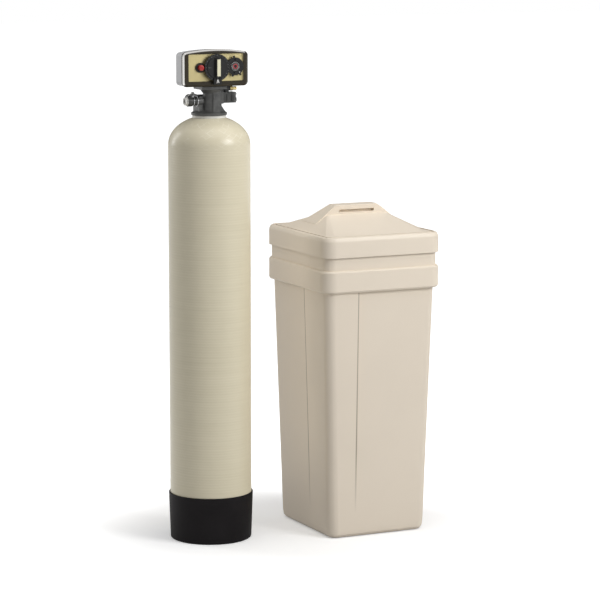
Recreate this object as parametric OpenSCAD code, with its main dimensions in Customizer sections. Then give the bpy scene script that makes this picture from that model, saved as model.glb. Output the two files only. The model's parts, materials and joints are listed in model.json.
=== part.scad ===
// Water softener: resin tank with a timer valve, and a separate salt tank

/* [Piece to show] */
// Name of one piece, or all

/* [Resin tank] */
// Outside radius of the wound shell
tank_r = 117; // [105:1:130]
// Height of the shell's shoulder, where the top dome starts
shoulder_z = 1134; // [1000:1:1300]
// Height of each dome
dome_h = 84; // [70:1:100]
// Thickness of the wound shell
wrap_wall = 3; // [2:0.5:5]
// Thickness of the plastic liner
liner_wall = 4; // [2:0.5:6]
// Outside radius of the liner's neck
neck_r = 42; // [40:0.5:46]
// Radius of the neck's bore
neck_bore_r = 37; // [35:0.5:38]
// Radius of the pale collar on the neck
collar_r = 48; // [46:0.5:52]
// Height of the collar's top above the dome
neck_rise = 0.6; // [0.2:0.1:6]
// Wall of the boot at its rim
boot_rim_wall = 3.8; // [3:0.1:8]
// How much smaller the boot's radius is at the floor than at its rim
boot_taper = 4.5; // [2:0.5:6]
// Height of the boot
boot_h = 135; // [120:1:160]
// Thickness of the boot's floor
boot_floor = 5.8; // [4:0.2:10]
// Thickness of the boot's wall at the floor
boot_wall = 4; // [3:0.5:6]
// Outside radius of the riser tube
riser_r = 13.35; // [12:0.05:14]
// Wall of the riser tube
riser_wall = 2.8; // [2:0.1:4]
// Radius of the lower distributor
basket_r = 27; // [24:0.5:32]
// Height of the lower distributor
basket_h = 52; // [44:1:70]
// Height of the resin's surface above the floor
resin_top_z = 850; // [600:5:1000]
// Outside radius of the upper screen
screen_r = 34; // [33:0.5:36]
// Height of the upper screen
screen_h = 45; // [30:1:60]
// Number of slots in each strainer
slot_count = 16; // [12:1:24]
// Width of a strainer slot
slot_w = 1.6; // [1:0.1:2]

/* [Control valve] */
// Radius of the valve's flange
flange_r = 51; // [49:0.5:56]
// Thickness of the flange's rim
flange_h = 8.4; // [6:0.2:12]
// Length of the threaded plug below the flange
plug_h = 23.6; // [18:0.2:30]
// Wall of the plug
plug_wall = 6.8; // [5:0.2:9]
// Distance of the piston's axis in front of the tank's axis
bore_fwd = 17.5; // [16:0.5:20]
// Outside radius of the valve's cylinder
cylinder_r = 24.5; // [23:0.5:28]
// Radius of the bore that holds the seals
stack_r = 18; // [17:0.5:19]
// Height of the bore's floor above the neck
bore_floor_h = 17.4; // [16:0.2:20]
// Height of the deck's top above the neck
deck_h = 82.4; // [78:0.2:90]
// Thickness of the deck
deck_t = 8; // [6:0.5:10]
// Reach of the deck to the left
deck_left = 45; // [40:1:52]
// Reach of the deck to the right
deck_right = 32; // [30:1:33]
// Reach of the deck to the back
deck_back = 6; // [4:1:12]
// Height of the ports' axis above the neck
port_h = 40.4; // [38:0.2:42]
// Half the distance between inlet and outlet
port_dx = 26; // [24:0.5:30]
// Outside radius of each port
port_r = 16; // [15:0.5:17]
// Bore of each port
port_bore_r = 11; // [9:0.5:12]
// Distance of the port's face behind the tank's axis
port_reach = 52; // [46:1:60]
// Radius of the inlet and outlet spigots
spigot_r = 13.3; // [12:0.1:14]
// Length of the spigots
spigot_len = 24; // [18:1:30]
// Thickness of the connectors' collars
spigot_collar = 9; // [7:0.5:12]
// Radius of the drain boss
drain_r = 13; // [12:0.5:14]
// Distance of the drain boss's face left of the axis
drain_reach = 46; // [44:1:52]
// Distance of the drain's axis in front of the tank's axis
drain_fwd = 10; // [6:1:12]
// Length of the drain fitting's nut
drain_nut_len = 26; // [20:1:30]
// Radius of the drain fitting's nut
drain_nut_r = 14; // [13:0.5:16]
// Length of the drain's white end
drain_end_len = 8; // [6:0.5:12]
// Bore of the drain
drain_bore_r = 6.5; // [5:0.5:8]
// Distance of the injector's pad right of the axis
pad_x = 30; // [29:0.5:32]
// Length of the injector body
injector_len = 32; // [28:1:36]
// Width of the injector body, front to back
injector_w = 30; // [26:1:32]
// Height of the injector body
injector_h = 30; // [28:1:34]
// Thickness of the injector's cap
injector_cap_t = 6; // [5:0.5:8]
// Radius of the brine valve's cylinder
brine_valve_r = 9; // [8.5:0.5:10]
// Radius of the brine valve's stem
stem_r = 2.5; // [2:0.1:3]
// Travel of the brine valve's stem
stem_travel = 6; // [4:0.5:8]
// Radius of the brass fitting's end
fitting_r = 5.2; // [4.5:0.1:6]
// Length of the brass fitting's end
fitting_len = 11; // [9:0.5:14]
// Length of the brass fitting's hexagon
fitting_hex = 9; // [7:0.5:12]
// Length of the stem's spring at rest
spring_len = 16; // [14:0.5:20]
// Turns of the stem's spring
spring_turns = 5; // [4:1:6]
// Radius of the spring's wire
wire_r = 0.7; // [0.5:0.1:0.9]

/* [Piston] */
// Radius of the piston
piston_r = 12; // [11:0.1:12.2]
// Length of the piston
piston_len = 24; // [20:1:26]
// Radius of the piston's rod
rod_r = 3; // [2.5:0.1:3.5]
// Number of spacers between the seals
spacer_count = 4; // [3:1:4]
// Height of a seal ring
seal_h = 4; // [3:0.5:4.5]
// Height of a spacer
spacer_h = 6.5; // [5:0.5:7]
// Radius of the crank
crank_r = 12; // [10:0.5:12]

/* [Powerhead] */
// Distance of the head's middle left of the tank's axis
head_left = 7; // [4:0.5:10]
// Distance of the face plate's front before the tank's axis
face_fwd = 62; // [60:0.5:66]
// Width of the frame
frame_w = 200; // [196:1:210]
// Reach of the frame below the dial's middle
frame_low = 53.3; // [52:0.1:56]
// Reach of the frame above the dial's middle
frame_high = 51; // [50:0.5:54]
// Radius of the frame's bowed top
crown_r = 560; // [450:10:800]
// Corner radius of the frame
frame_round = 13; // [10:0.5:16]
// Width of the frame's outer bevel
frame_bevel = 6; // [4:0.5:7]
// Width of the face plate that shows
face_w = 167; // [165:1:172]
// Height of the face plate that shows
face_h = 76; // [75:0.5:78]
// Thickness of the face plate
face_t = 1.5; // [1:0.1:2]
// Height of the frame's lip before the face plate
lip_h = 5; // [4:0.5:5.2]
// Depth of the frame behind the face plate's front
frame_back = 8; // [7:0.5:9]
// Thickness of the dark line between frame and cover
seam_t = 1; // [0.8:0.1:2]
// Depth of the grey cover shell
shell_depth = 48; // [47:1:56]
// Wall of the cover shell
shell_wall = 2.5; // [2:0.1:3]
// How far the shell stands inside the frame's outline
shell_inset = 2; // [1.5:0.5:3]
// Rounding of the shell's back edge
shell_round = 6; // [4:0.5:8]
// Height of the mechanism's foot
foot_h = 10.8; // [8:0.2:14]
// Radius of the time dial
dial_r = 38; // [36:0.5:39]
// Thickness of the time dial
dial_t = 3; // [2.5:0.1:3.2]
// Height of the dial's back before the face plate
dial_p = 10.2; // [10.1:0.1:11]
// Radius of the dial's hub
dial_hub_r = 12; // [11:0.1:13]
// Radius of the knob's disc
knob_r = 31; // [29:0.5:32]
// Thickness of the knob's disc
knob_t = 2.2; // [2:0.1:3]
// Height of the knob's grip
grip_h = 9.5; // [8:0.5:12]
// Width of the grip's foot
grip_foot_w = 20; // [17:0.5:22]
// Width of the cream strip
strip_w = 10.5; // [9:0.5:11]
// Length of the cream strip
strip_len = 48; // [44:1:52]
// Thickness of the cream strip
strip_t = 1.2; // [0.8:0.1:1.5]
// Radius of the knob's shaft
shaft_r = 6; // [5:0.1:7]
// Distance of the red button left of the dial's middle
button_left = 47.6; // [47:0.1:49]
// Radius of the red button
button_r = 8.2; // [7.5:0.1:8.4]
// Radius of the button's bush
bush_r = 13.8; // [12:0.1:14]
// Height of the button's bush
bush_h = 4; // [3:0.5:5]
// Height of the red button before the face plate
button_h = 14.5; // [12:0.5:16]
// Travel of the red button
button_travel = 5; // [3:0.5:5]
// Distance of the skipper wheel right of the dial's middle
wheel_right = 57; // [55:0.5:58]
// Height of the skipper wheel's middle above the dial's
wheel_up = 2; // [0:0.5:4]
// Radius of the skipper wheel
wheel_r = 25; // [24:0.5:26]
// Thickness of the skipper wheel
wheel_t = 4; // [3.8:0.1:4.2]
// Radius of the skipper wheel's pin
wheel_pin_r = 4; // [3:0.1:5]
// Number of day tabs
tab_count = 7;
// Width of a day tab
tab_w = 6; // [5:0.2:7]
// Length of a day tab
tab_len = 9; // [8:0.5:9]
// Thickness of a day tab
tab_t = 2; // [1.5:0.1:2.2]
// Travel of a day tab
tab_travel = 5; // [3:0.5:5]
// Angle of the first day tab
tab_first = 98; // [90:1:105]
// Width of the pointer tab
pointer_w = 24; // [20:0.5:26]
// Height of the pointer tab before the face plate
pointer_p = 17; // [16.5:0.5:19]

/* [Gears] */
// Size of the teeth
gear_module = 1.5;
// Teeth of the dial's gear
dial_teeth = 40;
// Teeth of the idler gear
idler_teeth = 16;
// Teeth of the motor's pinion
pinion_teeth = 12;
// Teeth of the main gear
main_teeth = 34;
// Thickness of each gear
gear_t = 4; // [3:0.5:4]
// Direction of the idler from the dial
idler_dir = 215;
// Direction of the pinion from the idler
pinion_dir = 190;
// Radius of the gears' pins
gear_pin_r = 2.5; // [2:0.1:3]
// Radius of the motor's can
motor_r = 20; // [17:0.5:20]
// Depth of the motor's can
motor_t = 22; // [18:1:26]
// Radius of the motor's posts
post_r = 2.5; // [2:0.1:3]

/* [Salt tank] */
// Distance of the salt tank's middle right of the resin tank's axis
tanks_dx = 443; // [400:1:520]
// Distance of the salt tank's middle before the resin tank's axis
tanks_dy = 25; // [0:1:60]
// Half width of the belt
belt_hx = 187.7; // [180:0.1:200]
// Half depth of the belt
belt_hy = 203.6; // [196:0.1:220]
// Corner radius of the belt
belt_round = 38; // [34:1:44]
// Height of the belt's lower edge
belt_z0 = 717; // [690:1:740]
// Height of the belt
belt_h = 63.6; // [55:0.2:75]
// How far the body stands behind the belt
belt_step = 10; // [8:0.5:14]
// Draft of the body's sides, degrees
draft = 1.85; // [1.2:0.05:2.2]
// Corner radius of the body
body_round = 29; // [26:1:32]
// Rounding of the body's lower edge
base_round = 25; // [18:1:30]
// Depth of the recessed panels below the belt
panel_step = 5; // [3:0.5:6]
// Edge of the corner post on the front, from the middle
post_front = 76; // [60:1:90]
// Edge of the corner post on the left, from the middle
post_side = 40; // [30:1:60]
// How far the corner posts sink behind the panels at the floor, where their edges fade out
post_fade = 0.4; // [0.3:0.1:1]
// Wall of the salt tank
salt_wall = 4; // [3:0.5:5]
// How far the neck stands behind the belt
neck_step = 8; // [7:0.5:12]
// Height of the tank's rim
rim_z = 858; // [850:1:870]

/* [Lid] */
// Height of the skirt's lower edge
skirt_z = 818.5; // [806:0.5:830]
// Height of the skirt's side above the tank's rim
skirt_rise = 4; // [3:0.5:8]
// Rise of the rim above the skirt's side
lid_rim_h = 15; // [12:1:18]
// Thickness of the skirt
skirt_t = 4.8; // [4:0.2:5.4]
// Wall of the lid's slopes
lid_wall = 5.5; // [4:0.5:6]
// Width of the flat rim around the slopes
rim_band = 20; // [16:1:26]
// Rise of the slopes above the lid's rim
ridge_h = 44; // [38:1:50]
// Half length of the slopes' top
ridge_hx = 94; // [85:1:110]
// Rise of the handle above the slopes
handle_h = 26; // [24:1:32]
// Half length of the handle's top
handle_hx = 68; // [64:1:76]
// Half depth of the handle's top
handle_hy = 23; // [20:1:26]
// Half length of the handle's foot
handle_foot_hx = 132; // [120:1:140]
// Half depth of the handle's foot
handle_foot_hy = 74; // [60:1:80]
// Height of the handle's top above its foot
handle_drop = 51; // [46:1:56]
// Radius of the scoop behind the handle
scoop_r = 30; // [26:1:31]
// Half length of the scoop
scoop_hx = 62; // [55:1:66]
// Height of the finger slot
finger_h = 8; // [7:0.5:9]
// Depth of the finger slot's back from the middle
finger_y = 12; // [10:0.5:14]
// Height of the handle's bar above the finger slot
bar_h = 13; // [12:0.5:14]

/* [Brine fittings] */
// Distance of the brine well's axis from the right wall
well_side = 105.7; // [98:0.1:118]
// Distance of the brine well's axis from the back wall
well_back = 105.6; // [98:0.1:124]
// Outside radius of the brine well
well_r = 55; // [50:1:57]
// Wall of the brine well
well_wall = 3; // [2:0.5:4]
// Height of the brine well's top
well_top_z = 790; // [740:1:800]
// Radius of the holes in the brine well
well_hole_r = 4; // [3:0.5:6]
// Height of the lowest holes above the well's foot
well_hole_z = 20; // [15:1:30]
// Distance between the rows of holes
well_hole_step = 25; // [18:1:30]
// Depth of the well cap's skirt
cap_skirt = 20; // [15:1:24]
// Thickness of the well cap
cap_t = 3; // [2:0.5:4]
// Height of the salt grid's top
grid_z = 116; // [90:1:140]
// Thickness of the salt grid
grid_t = 6; // [4:0.5:8]
// Corner radius of the salt grid
grid_round = 24; // [18:1:26]
// Distance between the grid's holes
grid_pitch = 32; // [26:1:44]
// Radius of the grid's holes
grid_hole_r = 5; // [4:0.5:6]
// Radius of the grid's legs
leg_r = 20; // [15:0.5:22]
// Radius of the safety valve
safety_r = 20; // [17:0.5:22]
// Height of the safety valve
safety_h = 50; // [40:1:60]
// Radius of the pickup tube
pickup_r = 5; // [4:0.5:6]
// Distance of the pickup tube from the float rod
pickup_dx = 34; // [33:0.5:38]
// Radius of the float
float_r = 24; // [20:0.5:26]
// Height of the float
float_h = 55; // [40:1:70]
// Height of the float's lower end
float_z = 430; // [300:5:600]
// Radius of the float rod
float_rod_r = 2.2; // [2:0.1:3]
// Length of the rod above the float
float_rod_end = 60; // [40:5:100]
// Rise of the float
float_rise = 15; // [10:1:18]
// Height of the overflow
overflow_z = 640; // [560:1:670]
// Place of the overflow, left of the tank's middle
overflow_dx = 60; // [40:1:90]
// Radius of the overflow's bore
overflow_r = 6.5; // [5:0.5:8]
// Radius of the overflow's thread
overflow_thread_r = 10.5; // [10:0.5:12]
// Radius of the overflow's flange and nut
overflow_flange_r = 17; // [15:0.5:20]
// Reach of the overflow behind the wall
overflow_reach = 30; // [28:1:36]
// Drop of the overflow's spigot
overflow_drop = 34; // [28:1:44]
// Depth of the collar above the overflow's spigot
overflow_collar = 13; // [12.5:0.5:16]
// Height of the brine line's hole
line_z = 672; // [640:1:690]
// Place of the brine line's hole, left of the tank's middle
line_dx = 8; // [0:1:20]
// Bore of the grommet for the brine line
line_r = 4.9; // [4:0.1:6]
// Radius of the brine line's hole
line_hole_r = 9; // [8:0.5:10]
// Length of the grommet's lip behind the wall
line_lip = 8; // [7:0.5:12]

/* [Clearances] */
// Between pieces of one body that fit into each other
seat_gap = 0.2; // [0.1:0.05:0.3]
// Radial clearance of a running fit
run_gap = 0.05; // [0.02:0.01:0.08]
// Between faces that move past each other
move_gap = 0.4; // [0.3:0.05:0.6]
// Between the teeth's tips and the roots, as a share of the module
tooth_gap = 0.35; // [0.3:0.05:0.4]

/* [Hidden] */
$fn = 72;
eps = 0.02;
slab_t = 0.5;
over = 1;
rib_w = 3;
rib_h = 0.7;

black = [0.09, 0.09, 0.1];
dark_grey = [0.2, 0.2, 0.21];
cream = [0.86, 0.82, 0.7];
shell_grey = [0.72, 0.73, 0.75];
gold = [0.72, 0.6, 0.3];
white = [0.93, 0.93, 0.9];
brass = [0.78, 0.65, 0.32];
steel = [0.7, 0.7, 0.72];
red = [0.8, 0.08, 0.06];
beige = [0.9, 0.84, 0.74];

// Heights of the resin tank and its valve
belly_z = boot_floor + seat_gap + dome_h;
boot_rim_r = tank_r + seat_gap + boot_rim_wall;
boot_base_r = boot_rim_r - boot_taper;
liner_r = tank_r - wrap_wall - seat_gap;
liner_h = dome_h - wrap_wall - seat_gap;
inner_r = liner_r - liner_wall;
inner_h = liner_h - liner_wall;
neck_top = shoulder_z + dome_h + neck_rise;
plug_r = neck_bore_r - seat_gap;
plug_bore_r = plug_r - plug_wall;
plug_z = neck_top - plug_h;
riser_top = neck_top + 3.4;
basket_z = belly_z - inner_h * sqrt(1 - pow(basket_r / inner_r, 2)) + seat_gap;
flange_top = neck_top + flange_h;
cone_top = flange_top + 6;
shoulder_h = 12;
bore_floor_z = neck_top + bore_floor_h;
deck_z = neck_top + deck_h;
port_z = neck_top + port_h;
plug_end_z = deck_z - 14;
stack_z = plug_end_z - (spacer_count + 1) * seal_h - spacer_count * spacer_h;
piston_z = plug_end_z - 1 - piston_len;
injector_z = port_z - 6;
injector_y = -bore_fwd - 1.5;
injector_top = injector_z + injector_h;
stem_x = pad_x + 13;
spring_r = 4.5;
stem_collar_z = deck_z + spring_len;
stem_tip = 8;
nozzle_r = 4;
nozzle_z = port_z + 9;
stem_floor_z = nozzle_z + nozzle_r + 1.6;
stem_foot_z = stem_floor_z + move_gap + stem_travel;
fitting_z = deck_z - 8;
fitting_bore_r = 2.5;

// Depth of the mechanism's foot, before the end plug
bore_depth = face_fwd - bore_fwd;
foot_end = bore_depth - stack_r - 5.5;

// Screws of the injector's cap and of the head
cap_screw_r = 1.8;
cap_screw_len = 7;
cap_screw_drop = 5;
cap_screw_y = injector_w / 2 - 4;
head_screw_r = 2;
head_screw_x = [6 - deck_left + head_left, deck_right - head_left - 7];
head_screw_y = foot_end - 6;

// Groove in the connectors and the clip that sits in it
clip_y0 = 3;
clip_y1 = 6;
clip_cut = 3;
clip_w = 8;

// Wire of the drain's clip and the lip that it passes over
clip_wire = 1;
drain_lip = 0.5;

// Places in the head, seen from the front, with depth measured back from the face plate
foot_low = frame_low + 1.5;
head_z = deck_z + foot_low;
frame_depth_end = frame_back + seam_t;
shell_end = frame_depth_end + shell_depth;
gear_y = frame_depth_end + 3;
main_y = gear_y + gear_t + 4;
motor_y = gear_y + gear_t + 2;
yoke_t = 12;
yoke_y = bore_depth - yoke_t / 2;
yoke_z = head_z + crank_r;
crank_end = yoke_y - move_gap;
deck_front = face_fwd - frame_depth_end;
idler_c = polar((dial_teeth + idler_teeth) * gear_module / 2, idler_dir);
pinion_c = idler_c + polar((idler_teeth + pinion_teeth) * gear_module / 2, pinion_dir);
idler_phase = idler_dir + 180 + 180 / idler_teeth;
idler_lag = wrap_to(pinion_dir - idler_phase, 360 / idler_teeth);
pinion_phase = pinion_dir + 180 + idler_lag * idler_teeth / pinion_teeth + 180 / pinion_teeth;
motor_posts = [pinion_c + polar(motor_r + 1, 104), pinion_c + polar(motor_r + 1, 204)];
knob_p = dial_p + dial_t + move_gap;
grip_p = knob_p + knob_t + grip_h;
wheel_p = lip_h + 0.6;
tab_gap = 0.3;
tab_p = wheel_p + wheel_t - tab_t - tab_gap;
tab_out = [1, 0, 0, 1, 1, 0, 0];

// Sizes of the salt tank
belt_z1 = belt_z0 + belt_h;
body_hx = belt_hx - belt_step;
body_hy = belt_hy - belt_step;
neck_hx = belt_hx - neck_step;
neck_hy = belt_hy - neck_step;
neck_round = belt_round - neck_step;
hole_t = salt_wall + panel_step + 14;
lid_in_hx = belt_hx - skirt_t;
lid_in_hy = belt_hy - skirt_t;
lid_in_round = belt_round - skirt_t;
seat_z = rim_z + move_gap;
skirt_top_z = rim_z + skirt_rise;
lid_top_z = skirt_top_z + lid_rim_h;
ridge_z = lid_top_z + ridge_h;
ridge_hy = handle_hy + 1;
handle_z = ridge_z + handle_h;
finger_z = handle_z - bar_h - finger_h;
floor_z = salt_wall;
well_z = floor_z + seat_gap;
safety_z = well_z + seat_gap;
rod_bore_z = safety_z + 12;
rod_foot_z = rod_bore_z + 2;
rod_top_z = float_z + float_h + float_rod_end;
cap_z = well_top_z + move_gap - cap_skirt;
well_dx = body_hx - well_side;
well_dy = body_hy - well_back;
grid_low = grid_z - grid_t;
grid_hx = body_hx - inset_at(grid_low) - salt_wall - panel_at(grid_low) - 4;
grid_hy = body_hy - inset_at(grid_low) - salt_wall - panel_at(grid_low) - 4;
grid_nx = floor((grid_hx - 4 * grid_hole_r) / grid_pitch);
grid_ny = floor((grid_hy - 4 * grid_hole_r) / grid_pitch);
line_wall = wall_y(line_z);
line_free = 1;
overflow_wall = wall_y(overflow_z);
back_reach = max(belt_hy, overflow_wall + overflow_reach + overflow_thread_r);

// Places of both tanks about the middle of the whole
resin_x = (max(boot_rim_r, tank_r) - tanks_dx - belt_hx) / 2;
brine_x = resin_x + tanks_dx;
brine_y = (belt_hy - back_reach) / 2;
resin_y = brine_y + tanks_dy;

function polar(r, a) = [r * cos(a), r * sin(a)];
function wrap_to(a, step) = a - step * floor(a / step);
function arc(r, h, z, a0, a1, n) = [for (i = [0:n]) let (a = a0 + (a1 - a0) * i / n)
    [r * cos(a), z + h * sin(a)]];
function dome_z(r, a, b) = shoulder_z + b * sqrt(1 - pow(r / a, 2));
function inset_at(z) = (belt_z0 - z) * tan(draft);
function panel_at(z) = panel_step * max(0, z - base_round) / (belt_z0 - base_round);
function wall_y(z) = body_hy - inset_at(z) - panel_at(z);
function tooth(a, r0, r1, w0, w1) =
    [polar(r0, a - w0), polar(r1, a - w1), polar(r1, a + w1), polar(r0, a + w0)];
function gear_points(n, phase) =
    let (rp = n * gear_module / 2, pitch = 360 / n)
    [for (i = [0:n - 1], p = tooth(phase + i * pitch, rp - gear_module * (0.8 + tooth_gap),
        rp + gear_module * 0.8, pitch * 0.29, pitch * 0.12)) p];
function sweep(c, r, a0, a1, n, i0 = 0) = [for (i = [i0:n - i0]) c + polar(r, a0 + (a1 - a0) * i / n)];
function head_points(hw, low, r, crown) =
    let (lean = asin((hw - r) / (crown - r)), c = [0, frame_high - crown_r],
        top = c.y + (crown - r) * cos(lean))
    concat(sweep([hw - r, top], r, 0, 90 - lean, 8), sweep(c, crown, 90 - lean, 90 + lean, 24, 1),
        sweep([r - hw, top], r, 90 + lean, 180, 8), sweep([r - hw, low + r], r, 180, 270, 8),
        sweep([hw - r, low + r], r, 270, 360, 8));
function tab_angle(i) = tab_first - (i - 1) * 360 / tab_count;

module at_resin() translate([resin_x, resin_y, 0]) children();
module at_bore() translate([resin_x, resin_y - bore_fwd, 0]) children();
module at_head() translate([resin_x - head_left, resin_y - face_fwd, head_z]) children();
module at_salt() translate([brine_x, brine_y, 0]) children();
module at_well() translate([brine_x + well_dx, brine_y + well_dy, 0]) children();
module depth(y0, y1) translate([0, y1, 0]) rotate([90, 0, 0]) linear_extrude(y1 - y0) children();
module along_x(x0, x1, r) translate([x0, 0, 0]) rotate([0, 90, 0]) cylinder(r = r, h = x1 - x0);
module along_y(y0, y1, r) translate([0, y1, 0]) rotate([90, 0, 0]) cylinder(r = r, h = y1 - y0);
module box(a, b) translate(a) cube(b - a);
module ring(r0, r1, h) difference() {
    cylinder(r = r1, h = h);
    translate([0, 0, -over]) cylinder(r = r0, h = h + 2 * over);
}
module torus(r, w) rotate_extrude() translate([r, 0]) circle(r = w, $fn = 20);
module rounded(w, h, r) {
    square([w - 2 * r, h], center = true);
    square([w, h - 2 * r], center = true);
    for (x = [-1, 1], y = [-1, 1]) translate([x * (w / 2 - r), y * (h / 2 - r)]) circle(r = r);
}
module ribbed_circle(r, ribs) {
    circle(r = r);
    for (i = [1:ribs]) rotate(i * 360 / ribs) translate([0, -rib_w / 2]) square([r + rib_h, rib_w]);
}
module slab(hx, hy, r, z) translate([0, 0, z]) linear_extrude(slab_t) rounded(2 * hx, 2 * hy, r, $fn = 48);
module hexagon(x0, x1, r) translate([x0, 0, 0]) rotate([0, 90, 0]) cylinder(r = r, h = x1 - x0, $fn = 6);

// Resin tank
module capsule(r, h) rotate_extrude($fn = 120)
    polygon(concat(arc(r, h, belly_z, -90, 0, 12), arc(r, h, shoulder_z, 0, 90, 12)));

module tank_boot() color(black) at_resin() rotate_extrude($fn = 120) polygon([
    [0, 0], [boot_base_r - 3, 0], [boot_base_r, 3], [boot_rim_r, boot_h - 1.5], [boot_rim_r - 1.5, boot_h],
    [tank_r + seat_gap, boot_h], [tank_r + seat_gap, belly_z - 10], [boot_base_r - boot_wall, boot_floor],
    [0, boot_floor]]);

module tank_wrap() color(cream) at_resin() difference() {
    capsule(tank_r, dome_h);
    capsule(tank_r - wrap_wall, dome_h - wrap_wall);
    translate([0, 0, shoulder_z]) cylinder(r = neck_r + seat_gap, h = 2 * dome_h);
}

module tank_liner() color(white) at_resin() difference() {
    union() {
        capsule(liner_r, liner_h);
        translate([0, 0, plug_z]) cylinder(r = neck_r, h = neck_top - plug_z);
        rotate_extrude() polygon([
            [neck_r - 1, dome_z(neck_r, tank_r, dome_h) + seat_gap],
            [neck_r, dome_z(neck_r, tank_r, dome_h) + seat_gap],
            [collar_r, dome_z(collar_r, tank_r, dome_h) + seat_gap],
            [collar_r, neck_top - 1], [collar_r - 1, neck_top], [neck_r - 1, neck_top]]);
    }
    capsule(inner_r, inner_h);
    translate([0, 0, shoulder_z]) cylinder(r = neck_bore_r, h = 2 * dome_h);
}

module distributor_tube() color(white) at_resin() translate([0, 0, basket_z + basket_h - 18])
    ring(riser_r - riser_wall, riser_r, riser_top - basket_z - basket_h + 18);

module slots(r, z0, z1) for (i = [0:slot_count - 1]) rotate([0, 0, i * 360 / slot_count])
    box([r * 0.7, -slot_w / 2, z0], [r * 1.2, slot_w / 2, z1]);

module lower_distributor() color(dark_grey) at_resin() translate([0, 0, basket_z]) difference() {
    cylinder(r = basket_r, h = basket_h);
    translate([0, 0, 3]) cylinder(r = basket_r * 0.8, h = basket_h - 24);
    translate([0, 0, basket_h - 18 - seat_gap]) cylinder(r = riser_r + seat_gap, h = basket_h);
    translate([0, 0, 3]) cylinder(r = riser_r - riser_wall, h = basket_h);
    slots(basket_r, 5, basket_h - 24);
}

module upper_screen() color(dark_grey) at_resin() translate([0, 0, plug_z - screen_h]) difference() {
    cylinder(r = screen_r, h = screen_h);
    translate([0, 0, 3]) cylinder(r = screen_r - 2.5, h = screen_h);
    translate([0, 0, -over]) cylinder(r = riser_r + seat_gap, h = screen_h);
    slots(screen_r, 6, screen_h - 6);
}

module resin_bed() color([0.75, 0.5, 0.2]) at_resin() difference() {
    intersection() {
        capsule(inner_r - seat_gap, inner_h - seat_gap);
        cylinder(r = tank_r, h = resin_top_z);
    }
    cylinder(r = basket_r + seat_gap, h = basket_z + basket_h + seat_gap);
    cylinder(r = riser_r + seat_gap, h = resin_top_z + over);
}

// Control valve
module valve_body() color(dark_grey) difference() {
    union() {
        at_resin() rotate_extrude() polygon([
            [0, plug_z], [plug_r - 1, plug_z], [plug_r, plug_z + 1], [plug_r, neck_top],
            [flange_r - 1, neck_top], [flange_r, neck_top + 1], [flange_r, flange_top - 2],
            [flange_r - 3, flange_top], [flange_r - 15, cone_top], [0, cone_top]]);
        at_bore() translate([0, 0, flange_top]) cylinder(r = cylinder_r, h = deck_z - flange_top);
        at_bore() translate([0, 0, deck_z - deck_t - shoulder_h])
            cylinder(r1 = cylinder_r, r2 = cylinder_r + 9, h = shoulder_h);
        at_bore() box([-6, -cylinder_r - 2, flange_top], [16, 0, deck_z - deck_t]);
        at_resin() box([-deck_left, -deck_front, deck_z - deck_t], [deck_right, deck_back, deck_z]);
        at_resin() translate([0, -drain_fwd, port_z]) along_x(-drain_reach, 0, drain_r);
        at_resin() box([-drain_reach + 8, -drain_fwd - 9, flange_top], [-10, 12, port_z + drain_r]);
        at_resin() box([-port_dx - port_r + 4, -2, flange_top], [port_dx + port_r - 4, 26, port_z + port_r]);
        for (s = [-1, 1]) at_resin() translate([s * port_dx, 0, port_z]) along_y(0, port_reach, port_r);
        at_resin() translate([0, injector_y, 0])
            box([0, -injector_w / 2, injector_z - 2], [pad_x, injector_w / 2, injector_top + 2]);
        at_resin() translate([0, injector_y, 0]) depth(-3, 3) polygon([
            [cylinder_r - 2, flange_top], [flange_r - 8, flange_top - 2], [cylinder_r, injector_z - 2],
            [0, injector_z - 2], [0, flange_top - 2]]);
    }
    at_resin() translate([0, 0, plug_z - over]) cylinder(r = plug_bore_r, h = plug_h - 7);
    at_resin() translate([0, 0, plug_z - over])
        cylinder(r = riser_r + seat_gap, h = riser_top - plug_z + over + seat_gap);
    at_resin() translate([0, 0, neck_top - 8]) ring(plug_r - 4, plug_r + over, 4.2);
    at_bore() translate([0, 0, bore_floor_z]) cylinder(r = stack_r, h = deck_z);
    for (s = [-1, 1]) at_resin() translate([s * port_dx, 0, port_z])
        along_y(8, port_reach + over, port_bore_r);
    at_resin() translate([0, -drain_fwd, port_z]) along_x(-drain_reach - over, -24, drain_bore_r);
    at_resin() translate([0, injector_y, nozzle_z]) along_x(pad_x - 14, pad_x + over, nozzle_r - 1);
    for (x = head_screw_x) at_head() translate([x, head_screw_y, deck_z - deck_t - over - head_z])
        cylinder(r = head_screw_r + seat_gap, h = deck_t + 2 * over);
}

module tank_o_ring() color(black) at_resin() translate([0, 0, neck_top - 5.9]) torus(plug_r - 2, 1.9);

module valve_seals() color(black) at_bore() for (i = [0:spacer_count])
    translate([0, 0, stack_z + i * (seal_h + spacer_h)])
        ring(piston_r + move_gap, stack_r - seat_gap, seal_h);

module valve_spacers() color(white) at_bore() for (i = [0:spacer_count - 1])
    translate([0, 0, stack_z + seal_h + i * (seal_h + spacer_h)]) difference() {
        ring(piston_r + 1.5, stack_r - seat_gap, spacer_h);
        for (a = [0:30:150]) rotate([0, 0, a])
            box([-2 * stack_r, -1.5, 1.2], [2 * stack_r, 1.5, spacer_h - 1.2]);
    }

module end_plug() color(white) at_bore() translate([0, 0, plug_end_z]) difference() {
    union() {
        cylinder(r = stack_r - seat_gap, h = deck_z - plug_end_z);
        translate([0, 0, deck_z - plug_end_z]) cylinder(r = stack_r + 4, h = 3);
    }
    translate([0, 0, -over]) cylinder(r = rod_r + run_gap, h = 2 * (deck_z - plug_end_z));
}

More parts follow.
